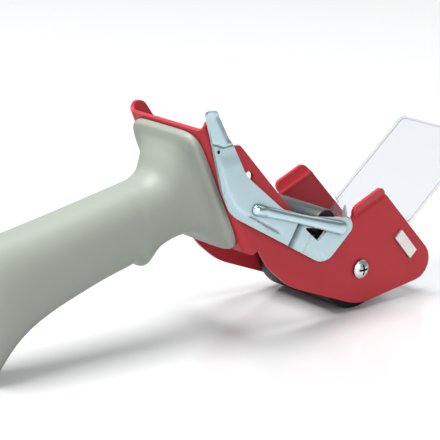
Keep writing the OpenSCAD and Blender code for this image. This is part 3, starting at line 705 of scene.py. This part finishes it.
# Wall outline in the side view, as [x, z, corner radius], from the foot of the back plate round to its top
WALL_SHAPE = [
    [*on_back(BACK_LOW, 0), 0], [-70.8, 44.4, 1.5], [-67.4, 46.6, 1], [-60.5, 35.2, 34], [-47, 23.3, 38],
    [-1, 4.8, 32], [59.4, 13, 10.4], [12.5, 65.7, 3.4], [-7.2, 57.6, 3.6], [-4.8, 52, 3], [-6.6, 47, 1.5],
    [-10.4, 47, 1.5], [-11, 54.2, 3], [-18.6, 54.2, 4], [-28.6, 42.4, 2.5], [-78.9, 100.9, 1],
    [-84, 101.2, 2], [-93.8, 115.4, 5], [-98.4, 115.2, 2.5], [*on_back(BACK_TOP, 0), 0]]
# Openings of the walls: radii of the holes for the axle and the pivot, and the hole to hang it by
AXLE_HOLE_R = 2.7
PIVOT_HOLE_R = 2.55
HANG_HOLE = (-73.6, 84.5)
HANG_HOLE_R = 2.75
# The brake bar's slot: middles of its round ends and their radius
BAR_SLOT = ((-24.4, 40), (-22.5, 38.7))
BAR_SLOT_R = 2.9
# The blade holder's slot from the axle: its turn, then its left, right, low and high sides
HEAD_TURN = math.radians(40.6)
HEAD_SLOT = (25.4, 27.3, -22.7, -5.7)
# Holes of the back plate for the grip's screws
GRIP_SCREWS = [(y, v) for y in (-9, 9) for v in (14, 38)]
GRIP_HOLE_R = 2.2
# The lip along the top of each ear: the line of its fold, how far left of that it starts, its flare, and the
# depth and half width of the pressed fold
LIP_LINE = ((-4.9, 51.4), (17.7, 60.5))
LIP_LEFT = 4
LIP_FLARE = 0.32
LIP_DENT = 0.6
LIP_WIDE = 1.6


def laid_flat(x, z):
    """A wall point of the side view in the flat sheet."""
    dx, dz = x - BACK_FOOT[0], z - BACK_FOOT[1]
    forward = dx * math.cos(BACK_LEAN) + dz * math.sin(BACK_LEAN)
    turn = math.acos(min(1.0, max(0.0, 1 - forward / BEND)))
    along = HALF_OUT - BEND + BEND * turn + max(0.0, forward - BEND)
    return along, dz * math.cos(BACK_LEAN) - dx * math.sin(BACK_LEAN)


def folded(a, b, h):
    """Side view point and depth of a point of the flat sheet that lies h out of its outer face."""
    flat = HALF_OUT - BEND
    turn = min(max((abs(a) - flat) / BEND, 0.0), math.pi / 2)
    past = max(0.0, abs(a) - flat - BEND * math.pi / 2)
    out = min(abs(a), flat) + (BEND + h) * math.sin(turn)
    forward = BEND - (BEND + h) * math.cos(turn) + past
    x, z = on_back(b, -forward)
    return x, -math.copysign(out, a), z


def frame_level(a, b):
    """Height of the flared lip over the wall."""
    x, _, z = folded(a, b, 0)
    above = -right_of((x, z), *LIP_LINE)
    if x < LIP_LINE[0][0] - LIP_LEFT:
        return 0.0
    return LIP_FLARE * max(0.0, above - LIP_WIDE / 2) - LIP_DENT * ridge((above - LIP_WIDE / 2) / LIP_WIDE)


def stadium(start, end, radius):
    """Points round a slot with round ends."""
    start, end = Vector(start), Vector(end)
    side = (end - start).normalized().orthogonal() * radius
    turns = [Matrix.Rotation(math.pi * i / 8, 2) for i in range(9)]
    return [start + turn @ side for turn in turns] + [end - turn @ side for turn in turns]


def wall_openings():
    """Outlines of the openings in each wall, in the side view."""
    along = Vector((math.cos(HEAD_TURN), math.sin(HEAD_TURN)))
    up = Vector((-along.y, along.x))
    left, right, low, high = HEAD_SLOT
    axle = Vector((0, AXLE_HEIGHT))
    slot = [axle + along * x + up * z for x, z in ((left, low), (right, low), (right, high), (left, high))]
    return [
        circle(axle, AXLE_HOLE_R), circle(HANG_HOLE, HANG_HOLE_R), circle(PIVOT, PIVOT_HOLE_R),
        stadium(*BAR_SLOT, BAR_SLOT_R), slot]


def spread(start, end, count=6):
    """Evenly spaced points from a start up to, but without, an end."""
    return [start.lerp(end, i / count) for i in range(count)]


class DISPENSER_OT_frame_sheet(bpy.types.Operator):
    """Folded frame: a back plate bent into two walls whose ears carry a flared lip, powder coated"""
    bl_idname = "dispenser.frame_sheet"
    bl_label = "Folded frame"

    def execute(self, context):
        path = rounded(WALL_SHAPE)
        path = spread(*path[:2]) + path[1:-2] + spread(*path[-2:]) + path[-1:]
        near = [laid_flat(*p) for p in path]
        outline = near + [(-a, b) for a, b in reversed(near)]
        walls = [[laid_flat(*p) for p in hole] for hole in wall_openings()]
        holes = walls + [[(-a, b) for a, b in hole] for hole in walls]
        holes += [circle(spot, GRIP_HOLE_R, 16) for spot in GRIP_SCREWS]
        turns = [BEND * math.pi / 2 * i / BEND_STEPS for i in range(BEND_STEPS + 1)]
        lips = [LIP_WIDE * (i / 4 - 0.5) for i in range(9)]
        below, above = BACK_LOW - HALF_OUT, BACK_TOP + HALF_OUT
        lines = []
        for side in (1, -1):
            fold = side * (HALF_OUT - BEND)
            lines.append(((fold, below), (fold, above), [side * t for t in turns]))
            start, end = (laid_flat(*p) for p in LIP_LINE)
            lines.append(((side * start[0], start[1]), (side * end[0], end[1]), [-side * t for t in lips]))
        mesh = sheet_mesh(
            "frame_sheet", outline, holes, SHEET_GRID, lines, frame_level, SHEET_T,
            lambda a, b, h: place(*folded(a, b, h)))
        smooth_faces(mesh, 38)
        piece = new_piece("frame_sheet", mesh, powder_coated_steel(), "frame", ["frame"])
        soften(piece, sizes().sheet_edge)
        return {"FINISHED"}


# Roller

class DISPENSER_OT_roller(bpy.types.Operator):
    """Roller: rubber tyre on a moulded core with bronze bushes and a steel axle"""
    bl_idname = "dispenser.roller"
    bl_label = "Roller"

    def execute(self, context):
        dress("roller_tyre", tyre_rubber(), 0.4 * MM)
        dress("roller_core", core_plastic(), 0.2 * MM)
        dress("roller_bushes", bush_bronze())
        dress("roller_axle", drawn_steel())
        dress("axle_spacers", zinc_fastener())
        return {"FINISHED"}


# Lever

# Outline in the side view, as [x, z, corner radius], with the thumb tab, then the window and the hook hole
LEVER_SHAPE = [
    [-98.6, 105.4, 0], [-92.9, 80.6, 16], [-86.6, 67.6, 14], [-27.1, 31.9, 10], [-8.2, 48.2, 4],
    [-10.2, 53.6, 4], [-34.9, 58.3, 22], [-55.4, 66, 14], [-78.6, 86.6, 22], [-86.3, 103.1, 0],
    [-96.2, 121, 6], [-104, 122.4, 2]]
WINDOW_SHAPE = [[-41.2, 53.9, 0.6], [-31.8, 45.2, 0.8], [-26.3, 49.3, 0.6], [-26.6, 51.4, 0.4]]
HOOK_HOLE = (-95.2, 100.8)
HOOK_HOLE_R = 0.95
# The outer face's distance from the mid-plane, the thickness, and the grid that the flat plate is cut into
LEVER_OUT = 34.0
LEVER_T = 1.6
LEVER_GRID = 1.5
# The step: its line, drop and width, then the ramp that rises behind it, and the offsets of their cuts
STEP = ((-51.4, 47.8), (-46.3, 56.3))
STEP_DROP = 2.0
STEP_WIDE = 0.35
RAMP_WIDE = 4.6
RAMP_RISE = 1.2
STEP_CUTS = (0.0, STEP_WIDE, 1.2, 2.1, 3.0, 3.9, 4.9)
# The fine line pressed beside the ramp: its way from the step, its depth, half width and cuts
FOOT_LINE = 11.6
FOOT_DEPTH = 0.25
FOOT_WIDE = 0.6
FOOT_CUTS = (11.0, 11.3, 11.6, 11.9, 12.2)
# The border of the pressed field: soft along the arm, a sharp groove below the strap
FIELD = (
    (-95.1, 99.1), (-93.4, 92.7), (-91.3, 86.2), (-88.9, 80.1), (-85.7, 74.5), (-82.2, 70.2), (-77.9, 67.4),
    (-73.7, 65), (-66.5, 60.5), (-57.7, 55))
FIELD_RISE = 0.4
FIELD_SOFT = 2.6
FIELD_TOP = 100
FIELD_FADE = 8
GROOVE_FROM = 36.0
GROOVE_FADE = 5
GROOVE_SHARPER = 2
GROOVE_DEPTH = 0.45
GROOVE_WIDE = 0.7
GROOVE_CUTS = (-0.7, -0.3, 0.0, 0.3, 0.7)
# The crease under the thumb tab: its line, depth, half width and cuts
CREASE = ((-98.6, 105.4), (-91.6, 102.7), (-86.3, 103.4))
CREASE_DEPTH = 0.35
CREASE_WIDE = 0.8
CREASE_CUTS = (-0.8, -0.4, 0.0, 0.4, 0.8)
# The tab: its lean above the crease, then its turned side with that side's width, slope, start and cuts
TAB_LEAN = 0.09
TURNED = ((-86.3, 103.1), (-96.4, 121))
TURNED_WIDE = 2.8
TURNED_SLOPE = 0.6
TURNED_FROM = 3
TURNED_CUTS = (-2.8, -1.9, -1.0)
# The tab's flared tip: the foot and run that measure the tab's length, then the flare's width and height
TAB_FOOT = (-98.4, 105.4)
TAB_RUN = (0.2, 0.98)
TAB_LONG = 15.6
TIP_WIDE = 3.4
TIP_FLARE = 1.6


def off_path(point, path):
    """A point's distance from a path, positive on its left, the way to its nearest spot and the full way."""
    best = None
    gone = 0.0
    for a, b in zip(path, path[1:]):
        a, b = Vector(a), Vector(b)
        run = b - a
        t = min(1.0, max(0.0, (Vector(point) - a).dot(run) / run.length_squared))
        gap = (Vector(point) - a - run * t).length
        if best is None or gap < abs(best[0]):
            side = math.copysign(1.0, -right_of(point, a, b))
            best = (gap * side, gone + t * run.length)
        gone += run.length
    return best[0], best[1], gone


def lever_level(x, z):
    """Height of the lever's outer face over the mid-plane, in millimetres."""
    over = right_of((x, z), *STEP)
    fall = min(1.0, max(0.0, over / STEP_WIDE))
    ramp = min(1.0, max(0.0, (over - STEP_WIDE) / RAMP_WIDE))
    level = LEVER_OUT - STEP_DROP * fall + RAMP_RISE * (1 - (1 - ramp) ** 2)
    level -= FOOT_DEPTH * ridge((over - FOOT_LINE) / FOOT_WIDE)
    inside, along, total = off_path((x, z), FIELD)
    sharp = ease((along - GROOVE_FROM) / GROOVE_FADE)
    kept = ease(total + 0.5 - along) * ease((FIELD_TOP - z) / FIELD_FADE)
    border = FIELD_RISE * ease(inside / (FIELD_SOFT - GROOVE_SHARPER * sharp) + 0.5)
    groove = GROOVE_DEPTH * sharp * ridge(inside / GROOVE_WIDE)
    level += (border - groove) * kept
    crease = CREASE[:2] if x < CREASE[1][0] else CREASE[1:]
    above = -right_of((x, z), *crease)
    if above > -1:
        side = -right_of((x, z), *TURNED)
        tip = TAB_LONG - ((x - TAB_FOOT[0]) * TAB_RUN[0] + (z - TAB_FOOT[1]) * TAB_RUN[1])
        level += TAB_LEAN * max(0.0, above) - CREASE_DEPTH * ridge(above / CREASE_WIDE)
        level -= TURNED_SLOPE * max(0.0, TURNED_WIDE - side) * ease(above / TURNED_FROM)
        level += TIP_FLARE * max(0.0, 1 - tip / TIP_WIDE) ** 2
    return level


# Strap over the lever, from its round nose to the end over the pivot: its ends, half widths and heights
STRAP = ((-72.2, 68.8), PIVOT)
STRAP_ENDS = (2.8, 3.3)
STRAP_WAIST = 2.45
WAIST_AT = 0.45
STRAP_HEIGHTS = ((-2.8, 2.4), (0.6, 3.2), (3.2, 3.1), (7.2, 1.8), (11, 1.7), (40, 1.6), (70, 1.6))
# The body's rise over its round boss, the boss's way from the end and the width of the rise
BOSS_RISE = 0.35
BOSS_BACK = 1.2
BOSS_WIDE = 0.6
# The strap's squareness, its lift off the lever, how bluntly its ends close, its rings and points in a ring
STRAP_SQUARE = 2.2
STRAP_LIFT = 0.02
NOSE_BLUNT = 0.7
STRAP_STEPS = 40
STRAP_ROUND = 16


def strap_rings():
    """Cross-sections of the strap: flat-topped humps that end in round noses."""
    start, end = Vector(STRAP[0]), Vector(STRAP[1])
    run = (end - start).normalized()
    across = Vector((-run.y, run.x))
    length = (end - start).length
    height = steady_curve([h[0] for h in STRAP_HEIGHTS], [h[1] for h in STRAP_HEIGHTS])
    width = steady_curve([0, WAIST_AT * length, length], [STRAP_ENDS[0], STRAP_WAIST, STRAP_ENDS[1]])
    turns = [math.radians(a) for a in range(2, 91, 8)]
    stops = [(-STRAP_ENDS[0] * math.cos(a), math.sin(a)) for a in turns]
    stops += [(length * i / STRAP_STEPS, 1.0) for i in range(1, STRAP_STEPS)]
    stops += [(length + STRAP_ENDS[1] * math.cos(a), math.sin(a)) for a in reversed(turns)]
    rings = []
    for along, share in stops:
        half = share * width(min(length, max(0.0, along)))
        peak = height(along) * min(1.0, share) ** NOSE_BLUNT
        boss = BOSS_RISE * ease((length - BOSS_BACK - along) / BOSS_WIDE + 0.5)
        ring = []
        for i in range(STRAP_ROUND + 1):
            t = math.sin(math.radians(-90 + 180 * i / STRAP_ROUND))
            crown = max(0.0, 1 - abs(t) ** STRAP_SQUARE) ** (1 / STRAP_SQUARE)
            rise = LEVER_OUT + STRAP_LIFT + (peak - BOSS_RISE + boss) * crown
            spot = start + run * along + across * half * t
            ring.append(place(spot.x, -rise, spot.y))
        rings.append(ring)
    return rings


class DISPENSER_OT_lever(bpy.types.Operator):
    """Brake lever: pressed plate with a thumb tab, its strap, shaft, washer, clip and spring"""
    bl_idname = "dispenser.lever"
    bl_label = "Brake lever"

    def execute(self, context):
        holes = [rounded(WINDOW_SHAPE), circle(HOOK_HOLE, HOOK_HOLE_R, 16), circle(PIVOT, PIVOT_HOLE_R)]
        lines = [(*STEP, STEP_CUTS + FOOT_CUTS)]
        lines += [(a, b, GROOVE_CUTS) for a, b in zip(FIELD, FIELD[1:])]
        lines += [(a, b, CREASE_CUTS) for a, b in zip(CREASE, CREASE[1:])]
        lines += [(*TURNED, TURNED_CUTS)]
        mesh = sheet_mesh(
            "lever_plate", rounded(LEVER_SHAPE), holes, LEVER_GRID, lines, lever_level, LEVER_T,
            lambda a, b, h: place(a, -h, b))
        smooth_faces(mesh, 38)
        plate = new_piece(
            "lever_plate", mesh, zinc_lever(), "lever", ["brake_lever"])
        soften(plate, 0.2 * MM)
        strap = ringed_mesh("lever_strap", strap_rings())
        smooth_faces(strap, 60)
        new_piece("lever_strap", strap, zinc_bright(), "lever", ["lever_rib"])
        dress("lever_pivot", drawn_steel(), 0.2 * MM)
        dress("pivot_washer", zinc_fastener())
        dress("pivot_clip", blackened_steel())
        dress("lever_spring", spring_wire())
        return {"FINISHED"}


# Guide roller, brake bar and blade head

# Faces of the guide roller that look this far along its axis are its ends
TUBE_END = 0.9


class DISPENSER_OT_guide_roller(bpy.types.Operator):
    """Guide roller: black moulded tube that runs on the lever's shaft"""
    bl_idname = "dispenser.guide_roller"
    bl_label = "Guide roller"

    def execute(self, context):
        dress("guide_roller", tube_plastic(), 0.3 * MM)
        tube = frame["nodes"]["guide_roller"].data
        # Painted shade: the ends take the darker black of the roller core, as they face the dark inside of
        # the frame
        tube.materials.append(core_plastic())
        for face in tube.polygons:
            face.material_index = int(abs(face.normal.y) > TUBE_END)
        return {"FINISHED"}


class DISPENSER_OT_brake_bar(bpy.types.Operator):
    """Brake bar with its rubber sleeve and clip"""
    bl_idname = "dispenser.brake_bar"
    bl_label = "Brake bar"

    def execute(self, context):
        dress("brake_bar", drawn_steel(), 0.2 * MM)
        dress("brake_sleeve", sleeve_rubber(), 0.3 * MM)
        dress("bar_clip", blackened_steel())
        return {"FINISHED"}


class DISPENSER_OT_blade_head(bpy.types.Operator):
    """Blade head: plated holder, ground blade and rivets"""
    bl_idname = "dispenser.blade_head"
    bl_label = "Blade head"

    def execute(self, context):
        dress("blade_holder", zinc_holder(), sizes().plate_edge)
        dress("blade", ground_steel())
        dress("blade_rivets", zinc_fastener())
        return {"FINISHED"}


# Flap

# Its root on the blade holder and its rise in the side view, then, from the root along that rise, its bend's
# start and height, where it widens and where it ends
FLAP_ROOT = (23.28, 36.18)
FLAP_RISE = math.radians(38.9)
FLAP_X0 = 1.55
FLAP_TOP = -1.4
FLAP_WIDE = 13.0
FLAP_REACH = 76.0
# Its half widths, thickness, bend radius at mid-thickness, length of foot, grid of cuts and rounded edge
FLAP_HW = (27.0, 29.2)
FLAP_T = 2.0
FLAP_BEND = 2.0
FLAP_FOOT = 4.6
FLAP_GRID = 8.0
FLAP_EDGE = 0.4
# Length and depth of the ground tip, then the rivet holes: their way up the foot, radius and places across
TIP_GROUND = 2.5
TIP_GRIND = 0.8
RIVET_UP = 2.9
RIVET_HOLE_R = 1.56
RIVET_SPOTS = (-18, 0, 18)


def on_flap(a, b, h):
    """A place on the flap: a along it from the top of its bend, b across it, h out of its middle face."""
    outer = FLAP_BEND + FLAP_T / 2
    corner = (FLAP_X0 + outer, FLAP_TOP - outer)
    turn = min(max(-a / FLAP_BEND, 0.0), math.pi / 2)
    past = max(0.0, -a - FLAP_BEND * math.pi / 2)
    along = corner[0] - math.sin(turn) * (FLAP_BEND + h) + max(0.0, a)
    up = corner[1] + math.cos(turn) * (FLAP_BEND + h) - past
    return place(
        FLAP_ROOT[0] + along * math.cos(FLAP_RISE) - up * math.sin(FLAP_RISE), b,
        FLAP_ROOT[1] + along * math.sin(FLAP_RISE) + up * math.cos(FLAP_RISE))


class DISPENSER_OT_flap(bpy.types.Operator):
    """Wiper flap: clear sheet with a bent foot and a ground tip, held by a plated strip and rivets"""
    bl_idname = "dispenser.flap"
    bl_label = "Wiper flap"

    def execute(self, context):
        start = FLAP_X0 + FLAP_BEND + FLAP_T / 2
        foot = -FLAP_BEND * math.pi / 2 - FLAP_FOOT
        wide, tip = FLAP_WIDE - start, FLAP_REACH - start
        outline = rounded([
            [foot, -FLAP_HW[0], 0], [wide, -FLAP_HW[0], 0.8], [wide, -FLAP_HW[1], 1], [tip, -FLAP_HW[1], 2],
            [tip, FLAP_HW[1], 2], [wide, FLAP_HW[1], 1], [wide, FLAP_HW[0], 0.8], [foot, FLAP_HW[0], 0]])
        holes = [circle((foot + RIVET_UP, y), RIVET_HOLE_R, 16) for y in RIVET_SPOTS]
        past = 2 * HALF_OUT
        bends = [(0, -past), (0, past), tuple(FLAP_BEND * math.pi / 2 * i / 6 for i in range(7))]
        ground = [(tip - TIP_GROUND, -past), (tip - TIP_GROUND, past), (0.0,)]
        mesh = sheet_mesh(
            "flap_sheet", outline, holes, FLAP_GRID, [bends, ground],
            lambda a, b: FLAP_T / 2 - TIP_GRIND * max(0.0, (a - tip + TIP_GROUND) / TIP_GROUND),
            FLAP_T, on_flap)
        smooth_faces(mesh, 25)
        piece = new_piece("flap_sheet", mesh, clear_face(), "frame", ["flap"])
        mesh.materials.append(clear_edge())
        rim = soften(piece, FLAP_EDGE * MM)
        rim.material = 1
        rim.use_clamp_overlap = False
        dress("flap_strip", zinc_sheet(), 0.2 * MM)
        dress("flap_rivets", zinc_fastener())
        return {"FINISHED"}


# Fasteners

class DISPENSER_OT_fasteners(bpy.types.Operator):
    """Screws and washers of the axle and the grip"""
    bl_idname = "dispenser.fasteners"
    bl_label = "Fasteners"

    def execute(self, context):
        dress("axle_screws", zinc_fastener(), 0.15 * MM)
        dress("handle_screws", zinc_fastener(), 0.15 * MM)
        dress("handle_washers", zinc_fastener())
        return {"FINISHED"}


# Stage

# Camera: where it stands and looks in the side view's axes, its lens and its sensor, in millimetres
CAMERA_AT = (-621.3, -706.2, 312.1)
CAMERA_TO = (-68.55, -1.0, 55.55)
CAMERA_LENS = 153.0
CAMERA_SENSOR = 36
# How far the camera sees and the floor reaches, in metres, and the strength of the white surroundings
CAMERA_REACH = 50
FLOOR_REACH = 6.0
TENT_GLOW = 0.3
# White lights in metres and watts: name, place, what it looks at, width, height and power
SOFT_BOXES = (
    ("overhead_softbox", (-0.8, 0.3, 2.9), (0.0, 0.1, 0), 2.0, 1.7, 152.0),
    ("front_softbox", (-0.8, -1.7, 0.8), (0, 0, 0.05), 2.4, 1.3, 20.0),
    ("left_softbox", (-2.1, -0.3, 0.6), (0, 0, 0.05), 1.8, 1.0, 7.0),
    ("right_softbox", (2.0, 0.2, 2.2), (0, 0, 0.05), 2.4, 2.4, 12.0),
    ("back_softbox", (1.8, 2.4, 1.1), (0.2, 0.4, 0), 3.2, 1.8, 12.0),
)


def soft_box(name, at, to, width, height, power):
    """A large rectangular studio light."""
    light = bpy.data.lights.new(name, "AREA")
    light.shape = "RECTANGLE"
    light.size = width
    light.size_y = height
    light.energy = power
    lamp = bpy.data.objects.new(name, light)
    lamp.location = at
    lamp.rotation_euler = (Vector(to) - Vector(at)).to_track_quat("-Z", "Y").to_euler()
    bpy.context.scene.collection.objects.link(lamp)


class DISPENSER_OT_stage(bpy.types.Operator):
    """Pale floor, soft studio light and the camera"""
    bl_idname = "dispenser.stage"
    bl_label = "Stage"

    def execute(self, context):
        scene = context.scene
        mesh = bpy.data.meshes.new("floor")
        corners = [(x * FLOOR_REACH, y * FLOOR_REACH, 0) for x, y in ((-1, -1), (1, -1), (1, 1), (-1, 1))]
        mesh.from_pydata(corners, [], [(0, 1, 2, 3)])
        mesh.materials.append(studio_floor())
        floor = bpy.data.objects.new("floor", mesh)
        scene.collection.objects.link(floor)

        world = bpy.data.worlds.new("white_tent")
        world.use_nodes = True
        glow = world.node_tree.nodes["Background"]
        glow.inputs["Color"].default_value = (1, 1, 1, 1)
        glow.inputs["Strength"].default_value = TENT_GLOW
        scene.world = world
        for box in SOFT_BOXES:
            soft_box(*box)

        camera = bpy.data.cameras.new("photo_camera")
        camera.lens = CAMERA_LENS
        camera.sensor_width = CAMERA_SENSOR
        camera.clip_end = CAMERA_REACH
        holder = bpy.data.objects.new("photo_camera", camera)
        holder.location = place(*CAMERA_AT)
        holder.rotation_euler = (place(*CAMERA_TO) - place(*CAMERA_AT)).to_track_quat("-Z", "Y").to_euler()
        scene.collection.objects.link(holder)
        scene.camera = holder
        scene.view_settings.view_transform = "Standard"
        return {"FINISHED"}


PIECES = (
    DISPENSER_OT_frame_sheet, DISPENSER_OT_grip, DISPENSER_OT_roller, DISPENSER_OT_lever,
    DISPENSER_OT_guide_roller, DISPENSER_OT_brake_bar, DISPENSER_OT_blade_head, DISPENSER_OT_flap,
    DISPENSER_OT_fasteners, DISPENSER_OT_stage,
)


class DISPENSER_PT_panel(bpy.types.Panel):
    """Lists the dispenser's settings and pieces"""
    bl_idname = "DISPENSER_PT_panel"
    bl_label = "Tape dispenser"
    bl_space_type = "VIEW_3D"
    bl_region_type = "UI"
    bl_category = "Dispenser"

    def draw(self, context):
        for group in (context.scene.dispenser_sizes, context.scene.dispenser_colours):
            for name in group.__annotations__:
                self.layout.prop(group, name)
        for piece in PIECES:
            self.layout.operator(piece.bl_idname)


CLASSES = (DispenserColours, DispenserSizes, *PIECES, DISPENSER_PT_panel)


def register():
    for cls in CLASSES:
        bpy.utils.register_class(cls)
    bpy.types.Scene.dispenser_colours = bpy.props.PointerProperty(type=DispenserColours)
    bpy.types.Scene.dispenser_sizes = bpy.props.PointerProperty(type=DispenserSizes)


def unregister():
    del bpy.types.Scene.dispenser_sizes
    del bpy.types.Scene.dispenser_colours
    for cls in reversed(CLASSES):
        bpy.utils.unregister_class(cls)


def main():
    register()
    bpy.ops.dispenser.frame_sheet()
    bpy.ops.dispenser.grip()
    bpy.ops.dispenser.roller()
    bpy.ops.dispenser.lever()
    bpy.ops.dispenser.guide_roller()
    bpy.ops.dispenser.brake_bar()
    bpy.ops.dispenser.blade_head()
    bpy.ops.dispenser.flap()
    bpy.ops.dispenser.fasteners()
    bpy.ops.dispenser.stage()
    bpy.context.view_layer.update()


if __name__ == "__main__":
    main()
